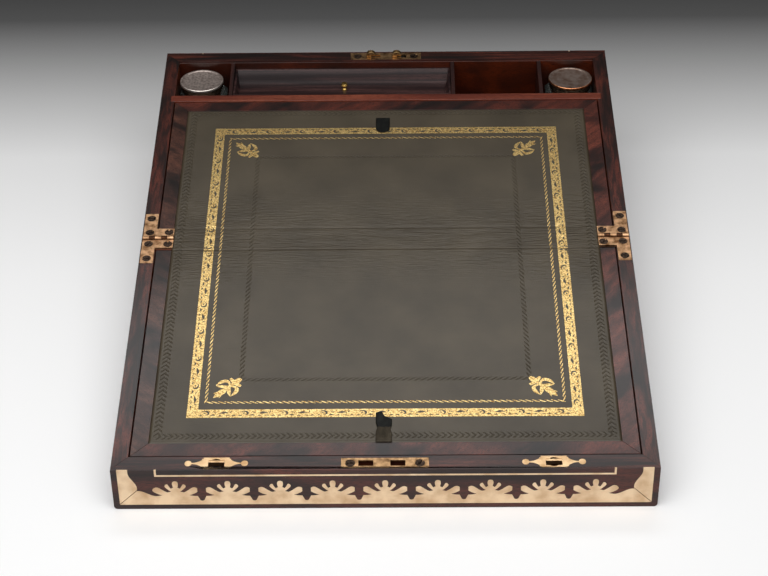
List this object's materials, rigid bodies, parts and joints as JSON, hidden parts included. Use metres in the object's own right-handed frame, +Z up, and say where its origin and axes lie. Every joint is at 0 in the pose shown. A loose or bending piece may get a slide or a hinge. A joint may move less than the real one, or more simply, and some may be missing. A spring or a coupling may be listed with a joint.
{
  "type": "writing slope",
  "caption": "Brass-inlaid travelling writing slope, open: two hinged halves form a leathered slope with lift-up flaps, pen tray, capped inkwells and hook lock.",
  "frame": {"origin": "on the table under the middle of the hinge line, between the two halves", "axes": "+X to the writer's right, +Y away from the writer towards the pen section, +Z up"},
  "size_m": [0.4, 0.5, 0.111],
  "materials": {
    "rosewood": "french polished rosewood, worn to a satin",
    "mahogany": "wiped polish on mahogany",
    "inlay_brass": "rubbed down flush, pale",
    "plate_brass": "tarnished brass",
    "screw_steel": "dark tarnished steel",
    "lock_iron": "dark iron",
    "writing_leather": "grey brown tooled skiver",
    "tab_leather": "dark leather",
    "bottle_glass": "clear moulded glass",
    "silvered_cap": "worn silver plate on brass"
  },
  "bodies": {
    "base": {"base_back_wall": "rosewood", "base_left_wall": "rosewood", "base_right_wall": "rosewood", "base_hinge_wall": "mahogany", "base_bottom": "mahogany", "base_face_veneer": "rosewood", "base_far_rim": "rosewood", "base_brass_border": "inlay_brass", "base_brass_string": "inlay_brass", "escutcheon": "inlay_brass", "base_flap_rests": "mahogany", "pen_floor": "mahogany", "pen_partition": "mahogany", "pen_rail": "rosewood", "pen_dividers": "mahogany", "pen_back_lining": "mahogany", "tray_rests": "mahogany", "lock_case": "lock_iron", "lock_plate": "plate_brass", "base_hinge_leaves": "plate_brass", "hinge_pins": "plate_brass", "base_screws": "screw_steel", "base_leather_fold": "writing_leather"},
    "lock_bolt": {"lock_bolt": "plate_brass"},
    "upper_flap": {"upper_flap_board": "mahogany", "upper_flap_banding": "rosewood", "upper_flap_leather": "writing_leather", "upper_flap_tab": "tab_leather"},
    "lid": {"lid_near_wall": "rosewood", "lid_left_wall": "rosewood", "lid_right_wall": "rosewood", "lid_hinge_wall": "mahogany", "lid_panel": "mahogany", "lid_face_veneer": "rosewood", "lid_near_rim": "rosewood", "lid_brass_border": "inlay_brass", "lid_brass_string": "inlay_brass", "lid_flap_rests": "mahogany", "receiver_plate": "plate_brass", "ledge_plates": "plate_brass", "ledge_bars": "plate_brass", "lid_hinge_leaves": "plate_brass", "lid_screws": "screw_steel", "lid_leather_fold": "writing_leather"},
    "lower_flap": {"lower_flap_board": "mahogany", "lower_flap_banding": "rosewood", "lower_flap_leather": "writing_leather", "lower_flap_tab": "tab_leather"},
    "pen_tray": {"pen_tray": "rosewood", "tray_knob": "plate_brass"},
    "inkwell_left": {"inkwell_left_glass": "bottle_glass", "inkwell_left_collar": "plate_brass"},
    "cap_seal_left": {"cap_seal_left": "tab_leather"},
    "cap_left": {"cap_left": "silvered_cap"},
    "inkwell_right": {"inkwell_right_glass": "bottle_glass", "inkwell_right_collar": "plate_brass"},
    "cap_seal_right": {"cap_seal_right": "tab_leather"},
    "cap_right": {"cap_right": "silvered_cap"}
  },
  "joints": [
    {"name": "lid_hinge", "type": "hinge", "parent": "base", "child": "lid", "pos_m": [0, -0.00002, 0.07165], "axis": [-1, 0, 0], "range_deg": [0, 180]},
    {"name": "upper_flap_fold", "type": "hinge", "parent": "base", "child": "upper_flap", "pos_m": [0, 0.01239, 0.0724], "axis": [-1, 0, 0], "range_deg": [-90, 0]},
    {"name": "lower_flap_fold", "type": "hinge", "parent": "lid", "child": "lower_flap", "pos_m": [0, -0.01346, 0.06883], "axis": [1, 0, 0], "range_deg": [-90, 0]},
    {"name": "tray_lift", "type": "slide", "parent": "base", "child": "pen_tray", "axis": [0, 0, -1], "range_m": [-0.06, 0]},
    {"name": "bolt_slide", "type": "slide", "parent": "base", "child": "lock_bolt", "axis": [-1, 0, 0], "range_m": [-0.0042, 0]},
    {"name": "inkwell_left_lift", "type": "slide", "parent": "base", "child": "inkwell_left", "axis": [0, 0, -1], "range_m": [-0.06, 0]},
    {"name": "cap_left_rise", "type": "slide", "parent": "inkwell_left", "child": "cap_seal_left", "axis": [0, 0, -1], "range_m": [-0.006, 0]},
    {"name": "cap_left_turn", "type": "hinge", "parent": "cap_seal_left", "child": "cap_left", "pos_m": [-0.1662, 0.2141, 0.095], "axis": [0, 0, -1], "range_deg": [-720, 0]},
    {"name": "inkwell_right_lift", "type": "slide", "parent": "base", "child": "inkwell_right", "axis": [0, 0, -1], "range_m": [-0.06, 0]},
    {"name": "cap_right_rise", "type": "slide", "parent": "inkwell_right", "child": "cap_seal_right", "axis": [0, 0, -1], "range_m": [-0.006, 0]},
    {"name": "cap_right_turn", "type": "hinge", "parent": "cap_seal_right", "child": "cap_right", "pos_m": [0.1662, 0.2141, 0.095], "axis": [0, 0, -1], "range_deg": [-720, 0]}
  ],
  "couplings": [
    {"joint": "cap_left_rise", "follows": "cap_left_turn", "m_per_rad": 0.00047741},
    {"joint": "cap_right_rise", "follows": "cap_right_turn", "m_per_rad": 0.00047741}
  ]
}
